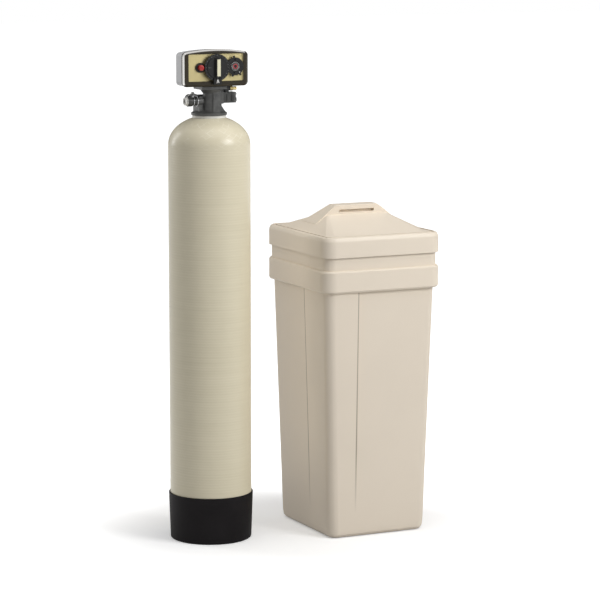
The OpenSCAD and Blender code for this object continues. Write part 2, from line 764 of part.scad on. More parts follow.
module piston() color(steel) at_bore() difference() {
    union() {
        translate([0, 0, piston_z]) rotate_extrude() polygon([
            [0, 0], [piston_r - 1, 0], [piston_r, 1], [piston_r, 7], [piston_r - 4, 9],
            [piston_r - 4, piston_len - 9], [piston_r, piston_len - 7], [piston_r, piston_len - 1],
            [piston_r - 1, piston_len], [0, piston_len]]);
        translate([0, 0, piston_z]) cylinder(r = rod_r, h = yoke_z - piston_z);
        box([-head_left - crank_r - 8, -yoke_t / 2, yoke_z - 7], [crank_r + 4, yoke_t / 2, yoke_z + 7]);
    }
    box([-head_left - crank_r - 5, -yoke_t, yoke_z - 3.5], [crank_r - 1, 2, yoke_z + 3.5]);
}

module injector_body() color(dark_grey) at_resin() translate([0, injector_y, 0]) difference() {
    union() {
        box([pad_x, -injector_w / 2, injector_z], [pad_x + injector_len, injector_w / 2, injector_top]);
        translate([stem_x, 0, injector_top - over])
            cylinder(r = brine_valve_r, h = deck_z - injector_top + over);
        translate([stem_x, 0, fitting_z]) along_x(0, brine_valve_r + 3, 6.5);
    }
    translate([0, 0, nozzle_z]) along_x(pad_x - over, pad_x + injector_len + over, nozzle_r + seat_gap);
    translate([stem_x, 0, stem_floor_z]) cylinder(r = stem_r + run_gap, h = deck_z - stem_floor_z + over);
    translate([stem_x, 0, fitting_z]) along_x(stem_r, brine_valve_r + 3 + over, fitting_bore_r);
    for (y = [-1, 1]) translate([0, y * cap_screw_y, injector_top - cap_screw_drop])
        translate([pad_x + injector_len, 0, 0]) along_x(-cap_screw_len - 1, over, cap_screw_r + seat_gap);
    for (x = [pad_x + 8, pad_x + injector_len - 9])
        box([x, -injector_w, injector_z + 5], [x + 3, -injector_w / 2 + 2, injector_top - 5]);
}

module injector_cap() color(dark_grey) at_resin() translate([pad_x + injector_len, injector_y, 0])
    difference() {
        union() {
            box([0, -injector_w / 2, injector_z], [injector_cap_t, injector_w / 2, injector_top]);
            translate([0, 0, injector_z + 8]) hexagon(0, injector_cap_t + 6, 8);
        }
        for (y = [-1, 1]) translate([0, y * cap_screw_y, injector_top - cap_screw_drop])
            along_x(-over, injector_cap_t + over, cap_screw_r + seat_gap);
    }

module injector_nozzle() color(white) at_resin() translate([pad_x, injector_y, nozzle_z]) difference() {
    along_x(0, injector_len, nozzle_r);
    along_x(-over, injector_len / 2, 1.2);
    along_x(injector_len / 2 - over, injector_len + over, 2.4);
}

module injector_screws() color(steel) at_resin() translate([pad_x + injector_len, injector_y, injector_top])
    for (y = [-1, 1]) translate([0, y * cap_screw_y, -cap_screw_drop]) {
        along_x(-cap_screw_len, injector_cap_t + eps, cap_screw_r);
        hexagon(injector_cap_t, injector_cap_t + 3, 2 * cap_screw_r);
    }

module brine_valve_stem() color(steel) at_resin() translate([stem_x, injector_y, 0]) {
    translate([0, 0, stem_foot_z]) cylinder(r = stem_r, h = stem_collar_z + stem_tip - stem_foot_z);
    translate([0, 0, stem_collar_z]) cylinder(r = spring_r + 1.5, h = 2);
}

module brine_valve_spring() color(steel) at_resin() translate([stem_x, injector_y, deck_z]) {
    rings = 8 * spring_turns;
    rise = spring_len - 2 * wire_r - 2 * seat_gap;
    points = [for (i = [0:rings], k = [0:5]) let (a = 45 * i, b = 60 * k, r = spring_r + wire_r * cos(b))
        [r * cos(a), r * sin(a), wire_r + seat_gap + rise * i / rings + wire_r * sin(b)]];
    sides = [for (i = [0:rings - 1], k = [0:5]) let (a = 6 * i + k, b = 6 * i + (k + 1) % 6)
        each [[a, b, a + 6], [b, b + 6, a + 6]]];
    ends = [for (k = [1:4]) each [[0, k + 1, k], [6 * rings, 6 * rings + k, 6 * rings + k + 1]]];
    polyhedron(points, concat(sides, ends));
    echo(spring_self_gap = rise / spring_turns - 2 * wire_r);
}

module brine_fitting() color(brass) at_resin() translate([stem_x + brine_valve_r + 3, injector_y, fitting_z])
    difference() {
        union() {
            hexagon(0, fitting_hex, 6.8);
            along_x(fitting_hex - eps, fitting_hex + fitting_len, fitting_r);
        }
        along_x(-over, fitting_hex + fitting_len + over, fitting_bore_r);
    }

module at_drain() at_resin() translate([-drain_reach, -drain_fwd, port_z]) children();

module drain_fitting() color(dark_grey) at_drain() difference() {
    union() {
        along_x(-drain_nut_len + 2, 0, drain_nut_r - 2);
        along_x(-5, 0, drain_nut_r - drain_lip);
        translate([-drain_nut_len, 0, 0]) rotate([0, 90, 0]) linear_extrude(14)
            ribbed_circle(drain_nut_r, 12);
    }
    along_x(-drain_nut_len - over, over, drain_bore_r);
}

module drain_end() color(white) at_resin() translate([-drain_reach - drain_nut_len, -drain_fwd, port_z])
    difference() {
        union() {
            along_x(-drain_end_len, 0, drain_nut_r - 3);
            along_x(-2, 0, drain_nut_r - 1);
        }
        along_x(-drain_end_len - over, over, drain_bore_r);
    }

module drain_clip() color(steel) at_drain() {
    for (x = [-8, 3]) translate([x, 0, 0]) rotate([0, 90, 0])
        torus((x < 0 ? drain_nut_r - 2 : drain_r) + clip_wire + seat_gap, clip_wire);
    translate([0, 0, drain_nut_r - drain_lip + clip_wire + seat_gap]) along_x(-8, 3, clip_wire);
}

module at_ports() for (s = [-1, 1]) at_resin() translate([s * port_dx, port_reach, port_z]) children();

module port_adapters() color(dark_grey) at_ports()
    rotate([-90, 0, 0]) rotate_extrude() polygon([
        [port_bore_r - 1, 0], [port_r, 0], [port_r, clip_y0], [port_r - clip_cut, clip_y0],
        [port_r - clip_cut, clip_y1], [port_r, clip_y1], [port_r, spigot_collar], [spigot_r, spigot_collar],
        [spigot_r, spigot_collar + spigot_len], [port_bore_r - 1, spigot_collar + spigot_len]]);

module port_clips() color(white) at_ports()
    depth(clip_y0 + seat_gap, clip_y1 - seat_gap) difference() {
        union() {
            circle(r = port_r + 1.5);
            translate([-clip_w / 2, 0]) square([clip_w, port_r + 5]);
        }
        circle(r = port_r - clip_cut + seat_gap);
        translate([-clip_w / 2, -2 * port_r]) square([clip_w, 2 * port_r]);
    }

// Powerhead
module head_outline(inset) polygon(head_points(frame_w / 2 - inset, -frame_low + inset,
    max(1, frame_round - inset), crown_r - inset));

module back_plate() color(black) at_head() difference() {
    union() {
        depth(face_t, frame_back + seam_t / 2) head_outline(frame_bevel);
        depth(frame_back, frame_depth_end) head_outline(1);
        box([-deck_left + head_left + 3, frame_back, -foot_low],
            [deck_right + head_left - 3, foot_end, -foot_low + foot_h]);
        translate([wheel_right, 0, wheel_up]) along_y(-wheel_p + 0.3, face_t + over, 2 * wheel_pin_r);
        translate([wheel_right, 0, wheel_up]) along_y(-wheel_p - wheel_t, face_t + over, wheel_pin_r);
        translate([idler_c.x, 0, idler_c.y]) along_y(frame_back, gear_y + gear_t, gear_pin_r);
        translate([idler_c.x, 0, idler_c.y]) along_y(frame_back, gear_y - 0.3, gear_pin_r + 2);
        for (p = motor_posts) translate([p.x, 0, p.y]) along_y(frame_back, motor_y, post_r);
    }
    along_y(-over, gear_y, dial_hub_r + run_gap);
    translate([-button_left, 0, 0]) along_y(-over, frame_depth_end - 2.5, button_r + 0.6);
    translate([-button_left, 0, 0]) along_y(-over, frame_depth_end + over, button_r / 2 + run_gap);
    for (x = head_screw_x) translate([x, head_screw_y, -foot_low - over])
        cylinder(r = head_screw_r + seat_gap, h = foot_h + 2 * over);
}

module front_bezel() color(black) at_head() difference() {
    hull() {
        depth(frame_back - 7, frame_back) head_outline(0);
        depth(-lip_h, -lip_h + 1) head_outline(frame_bevel);
    }
    depth(-lip_h - over, frame_back + over) rounded(face_w, face_h, 3);
    depth(0, frame_back + over) head_outline(frame_bevel - seat_gap);
}

module face_plate() color(gold) at_head() difference() {
    depth(0, face_t) head_outline(frame_bevel);
    along_y(-over, 5, dial_hub_r + 0.5);
    translate([-button_left, 0, 0]) along_y(-over, 5, button_r + 0.6);
    translate([wheel_right, 0, wheel_up]) along_y(-over, 5, 2 * wheel_pin_r + seat_gap);
}

module shell_form(inset, y1) hull() {
    depth(frame_depth_end, y1 - shell_round) head_outline(inset);
    depth(y1 - 1, y1) head_outline(inset + shell_round);
}

module cover_shell() color(shell_grey) at_head() difference() {
    shell_form(shell_inset, shell_end);
    translate([0, -eps, 0]) shell_form(shell_inset + shell_wall, shell_end - shell_wall);
    box([-deck_left + head_left + 2, 0, -frame_low - 2],
        [stem_x + head_left + 12, shell_end - shell_round, -frame_low + 9]);
}

module pointer_tab() color(black) at_head() {
    depth(-pointer_p, -lip_h) translate([-pointer_w / 2, -frame_low + frame_bevel])
        square([pointer_w, frame_low - frame_bevel - dial_r - 1]);
    depth(-pointer_p, -dial_p - dial_t - move_gap) intersection() {
        translate([-pointer_w / 2, -dial_r - 2]) square([pointer_w, dial_r]);
        difference() {
            circle(r = dial_r + 4);
            circle(r = knob_r + move_gap);
        }
    }
}

module button_bush() color(black) at_head() translate([-button_left, 0, 0]) difference() {
    along_y(-bush_h, 0, bush_r);
    along_y(-bush_h - over, over, button_r + run_gap);
}

module time_set_button() color(red) at_head() translate([-button_left, 0, 0]) {
    rotate([90, 0, 0]) rotate_extrude() polygon([
        [0, 1], [button_r, 1], [button_r, button_h - 2], [button_r - 2, button_h], [0, button_h]]);
    along_y(-2, frame_depth_end, button_r / 2);
}

module time_dial() color(black) at_head() difference() {
    union() {
        along_y(-dial_p - dial_t, -dial_p, dial_r);
        along_y(-dial_p - eps, gear_y, dial_hub_r);
        depth(gear_y - eps, gear_y + gear_t) polygon(gear_points(dial_teeth, idler_dir));
    }
    along_y(-dial_p - dial_t - over, gear_y + gear_t + over, shaft_r + run_gap);
}

module idler_gear() color(white) at_head() translate([idler_c.x, 0, idler_c.y]) difference() {
    depth(gear_y, gear_y + gear_t) polygon(gear_points(idler_teeth, idler_phase));
    along_y(0, gear_y + gear_t + over, gear_pin_r + run_gap);
}

module motor_pinion() color(brass) at_head() translate([pinion_c.x, 0, pinion_c.y]) difference() {
    depth(gear_y, gear_y + gear_t) polygon(gear_points(pinion_teeth, pinion_phase));
    along_y(0, gear_y + gear_t + over, gear_pin_r + run_gap);
}

module drive_motor() color(steel) at_head() {
    translate([pinion_c.x, 0, pinion_c.y]) along_y(motor_y, motor_y + motor_t, motor_r);
    translate([pinion_c.x, 0, pinion_c.y]) along_y(gear_y, motor_y + over, gear_pin_r);
    for (p = motor_posts) translate([p.x, 0, p.y]) along_y(motor_y, motor_y + 1.5, post_r + 2.5);
}

module main_gear() color(white) at_head() difference() {
    union() {
        depth(main_y, main_y + gear_t) polygon(gear_points(main_teeth, 0));
        along_y(gear_y + gear_t + move_gap, main_y + gear_t, shaft_r + 4);
        translate([0, 0, crank_r]) along_y(main_y, crank_end, 3);
    }
    along_y(0, main_y + gear_t - 2, shaft_r + run_gap);
}

module regeneration_knob() color(black) at_head() difference() {
    union() {
        rotate([90, 0, 0]) rotate_extrude() polygon([
            [0, knob_p], [knob_r, knob_p], [knob_r, knob_p + knob_t - 1], [knob_r - 1, knob_p + knob_t],
            [0, knob_p + knob_t]]);
        hull() {
            depth(-knob_p - knob_t - eps, -knob_p - knob_t + eps) rounded(grip_foot_w, 2 * knob_r - 6, 6);
            depth(-grip_p, -grip_p + 1) rounded(strip_w + 2, strip_len + 3, 3);
        }
        along_y(-knob_p - eps, main_y + gear_t - 2 - seat_gap, shaft_r);
    }
    depth(-grip_p - over, -grip_p + strip_t) rounded(strip_w, strip_len, 1.5);
}

module knob_strip() color(white) at_head() depth(-grip_p, -grip_p + strip_t)
    rounded(strip_w - seat_gap, strip_len - seat_gap, 1.5);

module tab_place(i) translate([wheel_right, 0, wheel_up]) rotate([0, -tab_angle(i), 0]) children();

module skipper_wheel() color(black) at_head() difference() {
    translate([wheel_right, 0, wheel_up]) along_y(-wheel_p - wheel_t, -wheel_p, wheel_r);
    translate([wheel_right, 0, wheel_up]) along_y(-wheel_p - wheel_t - over, over, wheel_pin_r + run_gap);
    for (i = [1:tab_count]) tab_place(i)
        box([wheel_r - tab_len - tab_gap, -wheel_p - wheel_t - over, -tab_w / 2 - tab_gap],
            [wheel_r + over, -tab_p + tab_gap, tab_w / 2 + tab_gap]);
}

module day_tab(i) color(black) at_head() tab_place(i) translate([tab_out[i - 1] * tab_travel, 0, 0])
    intersection() {
        box([wheel_r - tab_len, -tab_p - tab_t, -tab_w / 2], [wheel_r, -tab_p, tab_w / 2]);
        along_y(-tab_p - tab_t - over, over, wheel_r);
    }
module day_tab_1() day_tab(1);
module day_tab_2() day_tab(2);
module day_tab_3() day_tab(3);
module day_tab_4() day_tab(4);
module day_tab_5() day_tab(5);
module day_tab_6() day_tab(6);
module day_tab_7() day_tab(7);

module head_screws() color(steel) at_head() for (x = head_screw_x) translate([x, head_screw_y, -foot_low]) {
    translate([0, 0, -deck_t]) cylinder(r = head_screw_r, h = deck_t + foot_h + eps);
    translate([0, 0, foot_h]) cylinder(r = head_screw_r + 1.8, h = 2.6);
}

// Salt tank
module body_slab(z, inset, panel) let (back = inset_at(z) + inset + panel)
    slab(body_hx - back, body_hy - back, max(4, body_round - inset - panel), z);

module body_form(inset, panel, z0) hull() {
    body_slab(z0, base_round * 0.6 + inset, 0);
    body_slab(z0 + base_round * 0.12, base_round * 0.3 + inset, 0);
    body_slab(z0 + base_round * 0.4, base_round * 0.08 + inset, 0);
    body_slab(z0 + base_round, inset, 0);
    body_slab(belt_z0, inset, panel);
}

module brine_tank() color(beige) at_salt() difference() {
    union() {
        body_form(0, panel_step, 0);
        intersection() {
            body_form(post_fade, 0, post_fade);
            for (s = [0, 180]) rotate([0, 0, s])
                box([-2 * body_hx, -2 * body_hy, 0], [-post_front, -post_side, belt_z0]);
        }
        hull() {
            slab(belt_hx - 4, belt_hy - 4, belt_round - 4, belt_z0);
            slab(belt_hx, belt_hy, belt_round, belt_z0 + 5);
            slab(belt_hx, belt_hy, belt_round, belt_z1 - 5);
            slab(belt_hx - 4, belt_hy - 4, belt_round - 4, belt_z1 - slab_t);
        }
        translate([0, 0, belt_z1 - 2]) linear_extrude(rim_z - belt_z1 + 2)
            rounded(2 * neck_hx, 2 * neck_hy, neck_round);
    }
    body_form(salt_wall, panel_step, floor_z);
    translate([0, 0, belt_z0 - over]) linear_extrude(rim_z) let (back = panel_step + salt_wall)
        rounded(2 * (body_hx - back), 2 * (body_hy - back), body_round - panel_step);
    translate([0, 0, belt_z0 + 6]) linear_extrude(rim_z)
        rounded(2 * (neck_hx - salt_wall), 2 * (neck_hy - salt_wall), neck_round - salt_wall);
    translate([-overflow_dx, overflow_wall, overflow_z])
        along_y(-hole_t, over + 2, overflow_thread_r + seat_gap);
    translate([-line_dx, line_wall, line_z]) along_y(-hole_t, over + 2, line_hole_r);
}

module lid_ring(inset0, inset1) difference() {
    rounded(2 * (belt_hx - inset0), 2 * (belt_hy - inset0), max(4, belt_round - inset0));
    rounded(2 * (belt_hx - inset1), 2 * (belt_hy - inset1), max(4, belt_round - inset1));
}

module brine_lid() color(beige) at_salt() difference() {
    union() {
        hull() {
            slab(belt_hx, belt_hy, belt_round, skirt_z);
            slab(belt_hx, belt_hy, belt_round, skirt_top_z);
            slab(belt_hx - 1.6, belt_hy - 1.6, belt_round - 1.6, skirt_top_z + lid_rim_h * 0.4);
            slab(belt_hx - 5, belt_hy - 5, belt_round - 5, skirt_top_z + lid_rim_h * 0.8);
            slab(belt_hx - 10, belt_hy - 10, belt_round - 10, lid_top_z - slab_t);
        }
        hull() {
            slab(belt_hx - rim_band + 3, belt_hy - rim_band + 3, belt_round - rim_band + 3, lid_top_z - 8);
            slab(ridge_hx, ridge_hy, 8, ridge_z - slab_t);
        }
        difference() {
            hull() {
                slab(handle_foot_hx, handle_foot_hy, 12, handle_z - handle_drop);
                slab(handle_hx + 3, handle_hy + 3, 12, handle_z - 4);
                slab(handle_hx, handle_hy, 10, handle_z - slab_t);
            }
            box([-belt_hx, -belt_hy, 0], [belt_hx, -ridge_hy, 2 * handle_z]);
        }
    }
    translate([0, 0, lid_top_z - 3.5]) linear_extrude(lid_rim_h) lid_ring(rim_band - 7, rim_band);
    translate([0, 0, skirt_z - over]) linear_extrude(seat_z - skirt_z + over)
        rounded(2 * lid_in_hx, 2 * lid_in_hy, lid_in_round);
    hull() {
        for (z = [seat_z - over, lid_top_z - lid_rim_h + lid_wall - 2])
            slab(belt_hx - rim_band - lid_wall, belt_hy - rim_band - lid_wall, 16, z);
        slab(ridge_hx - lid_wall, ridge_hy - lid_wall, 8, ridge_z - lid_wall - slab_t);
    }
    translate([0, handle_hy + scoop_r - 1, handle_z - 2]) along_x(-scoop_hx, scoop_hx, scoop_r);
    for (s = [0, 180]) rotate([0, 0, s])
        box([6 - scoop_hx, -handle_foot_hy, finger_z], [scoop_hx - 6, -finger_y, finger_z + finger_h]);
}

// Pieces inside the salt tank
module brine_well() color(white) at_well() translate([0, 0, well_z]) difference() {
    ring(well_r - well_wall, well_r, well_top_z - well_z);
    for (a = [0:60:300], i = [0:2]) rotate([0, 0, a]) translate([0, 0, well_hole_z + i * well_hole_step])
        along_x(well_r - 2 * well_wall, well_r + over, well_hole_r);
}

module well_cap() color(dark_grey) at_well() translate([0, 0, cap_z]) difference() {
    cylinder(r = well_r + move_gap + cap_t, h = cap_skirt + cap_t);
    translate([0, 0, -over]) cylinder(r = well_r + move_gap, h = cap_skirt + over);
}

module salt_grid() color(white) at_salt() translate([0, 0, grid_low]) linear_extrude(grid_t) difference() {
    rounded(2 * grid_hx, 2 * grid_hy, grid_round);
    translate([well_dx, well_dy]) circle(r = well_r + seat_gap);
    for (i = [-grid_nx:grid_nx], j = [-grid_ny:grid_ny]) let (x = i * grid_pitch, y = j * grid_pitch)
        if (norm([x - well_dx, y - well_dy]) > well_r + 3 * grid_hole_r)
            translate([x, y]) circle(r = grid_hole_r, $fn = 12);
}

module grid_legs() color(white) at_salt()
    for (x = [-grid_hx / 2, grid_hx / 7], y = [-grid_hy * 0.7, 0]) translate([x, y, well_z])
        ring(leg_r - 3, leg_r, grid_low - well_z);

module safety_valve() color(dark_grey) at_well() difference() {
    union() {
        translate([0, 0, safety_z]) cylinder(r = safety_r, h = safety_h);
        box([0, -6, safety_z], [pickup_dx, 6, safety_z + 16]);
        translate([pickup_dx, 0, safety_z]) cylinder(r = pickup_r + 3, h = 16);
        translate([pickup_dx, 0, safety_z]) cylinder(r = pickup_r, h = line_z - safety_z);
        translate([pickup_dx, 0, line_z]) sphere(r = pickup_r + 2);
        translate([pickup_dx, 0, line_z]) along_y(0, 14, pickup_r + 1);
        box([pickup_dx, -3, line_z - 30], [well_r - well_wall - 1, 3, line_z - 22]);
    }
    translate([0, 0, rod_bore_z]) cylinder(r = float_rod_r + run_gap, h = safety_h);
    translate([pickup_dx, 0, safety_z + 6]) cylinder(r = pickup_r - 1.5, h = line_z - safety_z - 6);
    translate([pickup_dx, 0, line_z]) along_y(0, 15, pickup_r - 1.5);
}

module brine_float() color(white) at_well() {
    translate([0, 0, rod_foot_z]) cylinder(r = float_rod_r, h = rod_top_z - rod_foot_z);
    translate([0, 0, float_z]) rotate_extrude() polygon([
        [0, 0], [float_r - 4, 0], [float_r, 4],
        [float_r, float_h - 4], [float_r - 4, float_h], [0, float_h]]);
    for (z = [float_z - 5, float_z + float_h]) translate([0, 0, z - eps]) cylinder(r = 6, h = 5 + 2 * eps);
}

module at_overflow() at_salt() translate([-overflow_dx, overflow_wall, overflow_z]) children();

module overflow_elbow() color(white) at_overflow() difference() {
    union() {
        along_y(-salt_wall - 16, overflow_reach, overflow_thread_r);
        along_y(1, 5, overflow_flange_r);
        translate([0, overflow_reach, 0]) sphere(r = overflow_thread_r);
        translate([0, overflow_reach, -overflow_collar]) cylinder(r = overflow_thread_r, h = overflow_collar);
        translate([0, overflow_reach, -overflow_drop]) cylinder(r = overflow_thread_r - 2, h = overflow_drop);
    }
    along_y(-2 * hole_t, overflow_reach, overflow_r);
    translate([0, overflow_reach, 0]) sphere(r = overflow_r);
    translate([0, overflow_reach, -overflow_drop - over]) cylinder(r = overflow_r, h = overflow_drop + over);
}

module overflow_nut() color(white) at_overflow() translate([0, -salt_wall - 1, 0]) difference() {
    rotate([90, 0, 0]) cylinder(r = overflow_flange_r, h = 8, $fn = 6);
    along_y(-2 * hole_t, 2 * hole_t, overflow_thread_r + seat_gap);
}

module line_grommet() color(black) at_salt() translate([-line_dx, line_wall, line_z]) difference() {
    union() {
        along_y(-salt_wall - 4, line_lip, line_hole_r - seat_gap);
        along_y(0.8, 4, line_hole_r + 3.5);
    }
    along_y(-2 * hole_t, 2 * hole_t, line_r);
    along_y(-2 * hole_t, line_free, line_r + 0.7);
}

tank_boot();
tank_wrap();
tank_liner();
distributor_tube();
lower_distributor();
upper_screen();
resin_bed();
valve_body();
tank_o_ring();
valve_seals();
valve_spacers();
end_plug();
piston();
injector_body();
injector_cap();
injector_nozzle();
injector_screws();
brine_valve_stem();
brine_valve_spring();
brine_fitting();
drain_fitting();
drain_end();
drain_clip();
port_adapters();
port_clips();
back_plate();
front_bezel();
face_plate();
cover_shell();
pointer_tab();
button_bush();
time_set_button();
time_dial();
idler_gear();
motor_pinion();
drive_motor();
main_gear();
regeneration_knob();
knob_strip();
skipper_wheel();
day_tab_1();
day_tab_2();
day_tab_3();
day_tab_4();
day_tab_5();
day_tab_6();
day_tab_7();
head_screws();
brine_tank();
brine_lid();
brine_well();
well_cap();
salt_grid();
grid_legs();
safety_valve();
brine_float();
overflow_elbow();
overflow_nut();
line_grommet();
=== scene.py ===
import json
import math

import bmesh
import bpy
from mathutils import Matrix, Vector


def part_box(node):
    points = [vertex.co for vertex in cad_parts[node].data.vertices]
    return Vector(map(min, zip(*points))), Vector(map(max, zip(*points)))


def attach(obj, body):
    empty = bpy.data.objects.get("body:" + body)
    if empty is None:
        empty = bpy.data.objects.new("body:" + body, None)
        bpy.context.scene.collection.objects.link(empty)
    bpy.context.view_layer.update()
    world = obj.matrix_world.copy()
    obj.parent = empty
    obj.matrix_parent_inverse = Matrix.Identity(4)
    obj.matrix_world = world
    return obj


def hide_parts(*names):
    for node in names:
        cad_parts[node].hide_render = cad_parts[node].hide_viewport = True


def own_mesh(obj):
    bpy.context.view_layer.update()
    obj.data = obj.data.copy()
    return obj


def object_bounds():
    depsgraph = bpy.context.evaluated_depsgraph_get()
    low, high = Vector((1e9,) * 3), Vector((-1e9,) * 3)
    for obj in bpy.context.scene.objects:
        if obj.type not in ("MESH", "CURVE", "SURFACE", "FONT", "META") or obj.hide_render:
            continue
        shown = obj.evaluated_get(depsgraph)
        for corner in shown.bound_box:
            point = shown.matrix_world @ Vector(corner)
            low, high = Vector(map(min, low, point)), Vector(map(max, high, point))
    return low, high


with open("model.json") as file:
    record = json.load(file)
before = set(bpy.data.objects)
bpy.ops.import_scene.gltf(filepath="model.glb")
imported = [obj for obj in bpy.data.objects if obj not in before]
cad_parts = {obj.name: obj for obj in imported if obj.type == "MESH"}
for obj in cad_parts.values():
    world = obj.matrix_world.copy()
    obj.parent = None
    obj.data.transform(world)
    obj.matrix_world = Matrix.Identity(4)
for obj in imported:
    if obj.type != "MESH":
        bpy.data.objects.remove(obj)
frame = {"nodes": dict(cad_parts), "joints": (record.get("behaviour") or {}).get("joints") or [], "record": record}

cad_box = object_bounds()
nodes = frame["nodes"]
joint_at = {j["name"]: Vector(j["pos_m"]) for j in frame["joints"] if "pos_m" in j}
slot_of = {p["node"]: p["material_slot"] for p in frame["record"]["subparts"]}
MM = 0.001
FULL_TURN = 2 * math.pi

# Sizes in metres. Steps beside the salt tank's corner posts, measured from the tank's middle
POST_FRONT = 0.076
POST_SIDE = 0.04
FRONT_FACE = 0.14
SIDE_FACE = 0.125
FRONT_LINE = 0.0032
SIDE_LINE = 0.005
BELT_LOW = 0.717
STEP_FADE = 0.07
STEP_FULL = 0.25

# Groove inside the rim of the lid
LID_TOP = 0.877
RIM_BAND = 0.02
GROOVE_DEEP = 0.0038
GROOVE_SHALLOW = 0.0003
GROOVE_INNER = 0.0005
GROOVE_OUTER = 0.0078

# Bevel of the head's frame, measured from the front of the gold plate
BEVEL_FRONT = 0.004
BEVEL_BACK = 0.001
WALL_START = 0.0008
WALL_END = 0.0012
# Direction the frame's outer bevel faces where its silver shows: silver only on the left and top slopes is a
# painted reflection
REFLECTION_SIDE = (-0.75, 0, 0.65)

# Resin tank: crossed fibres on the dome, and the winding
FIBRE_COUNT = 13
FIBRE_CLIMB = 210
FIBRE_FADE = 0.1
FIBRE_FULL = 0.055
FIBRE_COLOUR = (0.93, 0.88, 0.74, 1)
DOME_HEIGHT = 0.084
NECK_RADIUS = 0.0422
WIND_PITCH = 0.0075
WIND_RIDGE = 0.00018

TANK_COLOUR = (0.83, 0.735, 0.61)
# Tones of the painted shade in the tank's step creases and in the lid's groove
STEP_SHADE_TONE = (0.46, 0.44, 0.41)
GROOVE_SHADE_TONE = (0.7, 0.68, 0.65)
# Duller silver on the top slope of the frame's bevel: painted reflection
TOP_SILVER_PAINTED_REFLECTION = (0.42, 0.41, 0.395, 1)
GRAIN_DEPTH = 0.0003
MARK_THICK = 0.00012


# Shader nodes
def node(tree, kind, inputs=None, **settings):
    made = tree.nodes.new("ShaderNode" + kind)
    for key, value in settings.items():
        setattr(made, key, value)
    for key, value in (inputs or {}).items():
        if isinstance(value, bpy.types.NodeSocket):
            tree.links.new(value, made.inputs[key])
        else:
            made.inputs[key].default_value = value
    return made


def maths(tree, operation, *values):
    return node(tree, "Math", dict(enumerate(values)), operation=operation).outputs[0]


def product(tree, factors):
    total = factors[0]
    for factor in factors[1:]:
        total = maths(tree, "MULTIPLY", total, factor)
    return total


def remap(tree, value, start, stop, low=0.0, high=1.0, **settings):
    inputs = {"Value": value, "From Min": start, "From Max": stop, "To Min": low, "To Max": high}
    return node(tree, "MapRange", inputs, **settings).outputs[0]


def mix(tree, share, first, second, blend="MIX"):
    inputs = {0: share, 6: first, 7: second}
    return node(tree, "Mix", inputs, data_type="RGBA", blend_type=blend).outputs[2]


def axes_of(tree, vector):
    return node(tree, "SeparateXYZ", {0: vector}).outputs


def normal_of(tree):
    return node(tree, "TexCoord").outputs["Normal"]


def dot(tree, first, second):
    return node(tree, "VectorMath", {0: first, 1: second}, operation="DOT_PRODUCT").outputs["Value"]


def stretch_by(tree, where, scale):
    return node(tree, "Mapping", {"Vector": where, "Scale": scale}).outputs[0]


def ramp(tree, factor, stops):
    made = node(tree, "ValToRGB", {0: factor})
    elements = made.color_ramp.elements
    while len(elements) < len(stops):
        elements.new(0.5)
    for element, (place, colour) in zip(elements, stops):
        element.position = place
        element.color = (*colour, 1)
    return made.outputs[0]


def noise(tree, where, scale, detail=3.0):
    inputs = {"Vector": where, "Scale": scale, "Detail": detail, "Roughness": 0.55}
    return node(tree, "TexNoise", inputs).outputs[0]


def spread(tree, factor, low, high):
    return remap(tree, factor, 0.25, 0.75, low, high)


def grey(level):
    return (level, level, level)


def scaled(colour, by):
    return tuple(c * by for c in colour)


def mottled(tree, factor, colour, contrast):
    return ramp(tree, factor, [(0.3, scaled(colour, 1 - contrast)), (0.7, scaled(colour, 1 + contrast))])


def blank(name):
    material = bpy.data.materials.new(name)
    material.use_nodes = True
    tree = material.node_tree
    return material, tree, tree.nodes["Principled BSDF"], node(tree, "TexCoord").outputs["Object"]


def cover(tree, shader, colour, rough, height, bump):
    tree.links.new(colour, shader.inputs["Base Color"])
    tree.links.new(rough, shader.inputs["Roughness"])
    raised = node(tree, "Bump", {"Height": height, "Strength": bump, "Distance": GRAIN_DEPTH})
    tree.links.new(raised.outputs[0], shader.inputs["Normal"])


# Materials
def toned(name, colour, contrast, rough, scale=7.0, grain=500.0, bump=0.1, stretch=(1, 1, 1), metal=0.0,
        coat=0.0, gloss=0.5):
    material, tree, shader, where = blank(name)
    stretched = stretch_by(tree, where, stretch)
    broad = noise(tree, stretched, scale, 5.0)
    fine = noise(tree, stretched, grain, 2.0)
    cover(tree, shader, mottled(tree, broad, colour, contrast), spread(tree, fine, *rough), fine, bump)
    shader.inputs["Metallic"].default_value = metal
    shader.inputs["Coat Weight"].default_value = coat
    shader.inputs["Specular IOR Level"].default_value = gloss
    return material


def crossed_fibres(tree, where):
    low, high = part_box("tank_wrap")
    axes = axes_of(tree, where)
    across = maths(tree, "SUBTRACT", axes[0], (low.x + high.x) / 2)
    along = maths(tree, "SUBTRACT", axes[1], (low.y + high.y) / 2)
    angle = maths(tree, "ARCTAN2", along, across)
    climb = maths(tree, "MULTIPLY", axes[2], FIBRE_CLIMB)
    lines = []
    for turns in (FIBRE_COUNT, -FIBRE_COUNT):
        wave = maths(tree, "SINE", maths(tree, "MULTIPLY_ADD", angle, turns, climb))
        lines.append(remap(tree, maths(tree, "ABSOLUTE", wave), 0.3, 0.05))
    line = maths(tree, "MAXIMUM", *lines)
    rise = remap(tree, axes[2], high.z - FIBRE_FADE, high.z - FIBRE_FULL)
    broken = remap(tree, noise(tree, where, 38.0), 0.45, 0.62)
    return product(tree, [line, rise, broken, 0.55])


